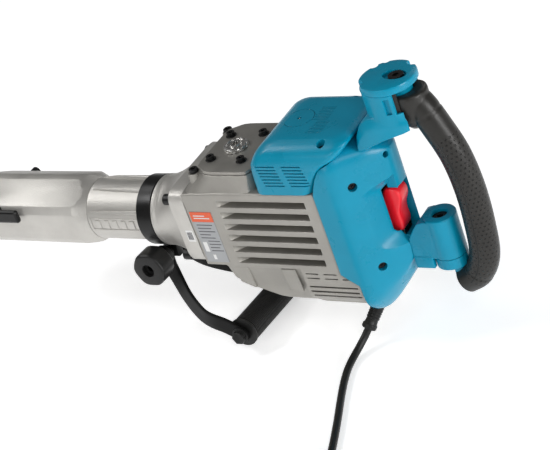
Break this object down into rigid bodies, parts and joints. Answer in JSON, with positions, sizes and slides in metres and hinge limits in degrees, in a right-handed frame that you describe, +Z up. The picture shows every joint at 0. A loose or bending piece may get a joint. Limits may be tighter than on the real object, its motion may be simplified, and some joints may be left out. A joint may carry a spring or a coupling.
{
  "type": "electric jackhammer",
  "caption": "Hand-held electric demolition hammer with a ribbed cast body, plastic motor cover, rear bow handle, stirrup side handle, hexagon tool socket and mains cord.",
  "frame": {"origin": "middle of the tool's length and width, on the surface the tool lies on", "axes": "+X runs back along the barrel, from the tool socket to the rear bow handle; +Z is up, the oil cap's side; +Y points away from the side with the rating plate"},
  "size_m": [0.7477, 0.4965, 0.3409],
  "materials": {
    "cast_aluminium": "sand cast, satin",
    "barrel_aluminium": "smooth cast, silver",
    "teal_plastic": "moulded, semi-gloss",
    "black_plastic": "moulded, satin",
    "soft_grip": "textured soft grip",
    "black_steel": "black oxide",
    "bright_steel": "ground",
    "red_plastic": "moulded, semi-gloss",
    "copper": "enamelled wire",
    "brass": "plain"
  },
  "bodies": {
    "tool": {"barrel_casting": "barrel_aluminium", "brush_bridge": "black_plastic", "brush_holder_left": "brass", "brush_holder_right": "brass", "cord": "black_plastic", "cord_coil": "black_plastic", "cord_guard": "black_plastic", "cover_screw_1": "black_steel", "cover_screw_2": "black_steel", "cover_screw_3": "black_steel", "cover_screw_4": "black_steel", "crank_bearing": "bright_steel", "crank_cover": "cast_aluminium", "cylinder_liner": "bright_steel", "field_stator": "copper", "flange_screw_1": "black_steel", "flange_screw_2": "black_steel", "flange_screw_3": "black_steel", "flange_screw_4": "black_steel", "gear_housing": "cast_aluminium", "hex_sleeve": "bright_steel", "lower_mount": "teal_plastic", "lower_pivot_bolt": "black_steel", "motor_bearing_lower": "bright_steel", "motor_bearing_upper": "bright_steel", "motor_cover": "teal_plastic", "nose_bumper": "soft_grip", "nose_housing": "barrel_aluminium", "plug": "black_plastic", "rear_shell_left": "teal_plastic", "rear_shell_right": "teal_plastic", "switch_body": "black_plastic", "upper_bushing": "soft_grip", "upper_mount": "teal_plastic", "upper_mount_lid": "teal_plastic", "upper_pivot_bolt": "black_steel"},
    "armature": {"armature": "bright_steel", "commutator": "copper", "cooling_fan": "black_plastic"},
    "countershaft": {"countershaft": "bright_steel"},
    "crank": {"crankshaft": "bright_steel"},
    "connecting_rod": {"connecting_rod": "bright_steel"},
    "piston": {"piston": "bright_steel"},
    "ram": {"ram": "bright_steel"},
    "impact_bolt": {"impact_bolt": "bright_steel"},
    "retainer": {"retainer_lever": "black_steel"},
    "oil_cap": {"oil_cap": "bright_steel"},
    "trigger": {"trigger": "red_plastic"},
    "bow_handle": {"bow_upper_knuckle": "teal_plastic", "bow_lower_knuckle": "teal_plastic", "bow_grip": "soft_grip"},
    "side_clamp": {"clamp_band": "black_steel", "clamp_bolt": "black_steel"},
    "clamp_knob": {"clamp_knob": "black_plastic"},
    "side_handle": {"side_strap_left": "black_steel", "side_strap_right": "black_steel", "side_grip": "soft_grip", "side_grip_rod": "black_steel"}
  },
  "joints": [
    {"name": "armature_spin", "type": "hinge", "parent": "tool", "child": "armature", "pos_m": [0.1616, 0.0104, 0.17], "axis": [0, 0, 1], "continuous": true},
    {"name": "countershaft_spin", "type": "hinge", "parent": "tool", "child": "countershaft", "pos_m": [0.1266, 0.0104, 0.11], "axis": [0, 0, 1], "continuous": true},
    {"name": "crank_spin", "type": "hinge", "parent": "tool", "child": "crank", "pos_m": [0.0866, 0.0104, 0.15], "axis": [0, 0, 1], "continuous": true},
    {"name": "crank_pin_turn", "type": "hinge", "parent": "crank", "child": "connecting_rod", "pos_m": [0.1026, 0.0104, 0.16], "axis": [0, 0, 1], "continuous": true},
    {"name": "piston_slide", "type": "slide", "parent": "tool", "child": "piston", "axis": [1, 0, 0], "range_m": [-0.032, 0]},
    {"name": "ram_slide", "type": "slide", "parent": "tool", "child": "ram", "axis": [1, 0, 0], "range_m": [-0.008, 0.011]},
    {"name": "impact_bolt_slide", "type": "slide", "parent": "tool", "child": "impact_bolt", "axis": [1, 0, 0], "range_m": [-0.012, 0]},
    {"name": "retainer_turn", "type": "hinge", "parent": "tool", "child": "retainer", "pos_m": [-0.3004, 0.0104, 0.18], "axis": [0, 1, 0], "range_deg": [0, 90]},
    {"name": "oil_cap_turn", "type": "hinge", "parent": "tool", "child": "oil_cap", "pos_m": [0.0746, 0.0104, 0.25], "axis": [0, 0, 1], "continuous": true},
    {"name": "trigger_press", "type": "hinge", "parent": "tool", "child": "trigger", "pos_m": [0.2536, 0.0104, 0.172], "axis": [0, -1, 0], "range_deg": [0, 6], "stiffness_Nm_per_rad": 1.5, "springref_deg": -3.44},
    {"name": "bow_swing", "type": "hinge", "parent": "tool", "child": "bow_handle", "pos_m": [0.3101, 0.0104, 0.16], "axis": [0, 0, 1], "range_deg": [-8, 8], "stiffness_Nm_per_rad": 60},
    {"name": "side_clamp_turn", "type": "hinge", "parent": "tool", "child": "side_clamp", "pos_m": [-0.0674, 0.0104, 0.16], "axis": [1, 0, 0], "range_deg": [-180, 180]},
    {"name": "side_handle_tilt", "type": "hinge", "parent": "side_clamp", "child": "side_handle", "pos_m": [-0.0684, 0.00596, 0.10919], "axis": [0, 0.9962, -0.0872], "range_deg": [-3, 90]},
    {"name": "clamp_knob_turn", "type": "hinge", "parent": "side_clamp", "child": "clamp_knob", "pos_m": [-0.0684, 0.00596, 0.10919], "axis": [0, 0.9962, -0.0872], "continuous": true}
  ],
  "couplings": [
    {"joint": "countershaft_spin", "follows": "armature_spin", "ratio": -0.2963},
    {"joint": "crank_spin", "follows": "armature_spin", "ratio": 0.098765},
    {"joint": "crank_pin_turn", "follows": "armature_spin", "ratio": -0.098765}
  ]
}
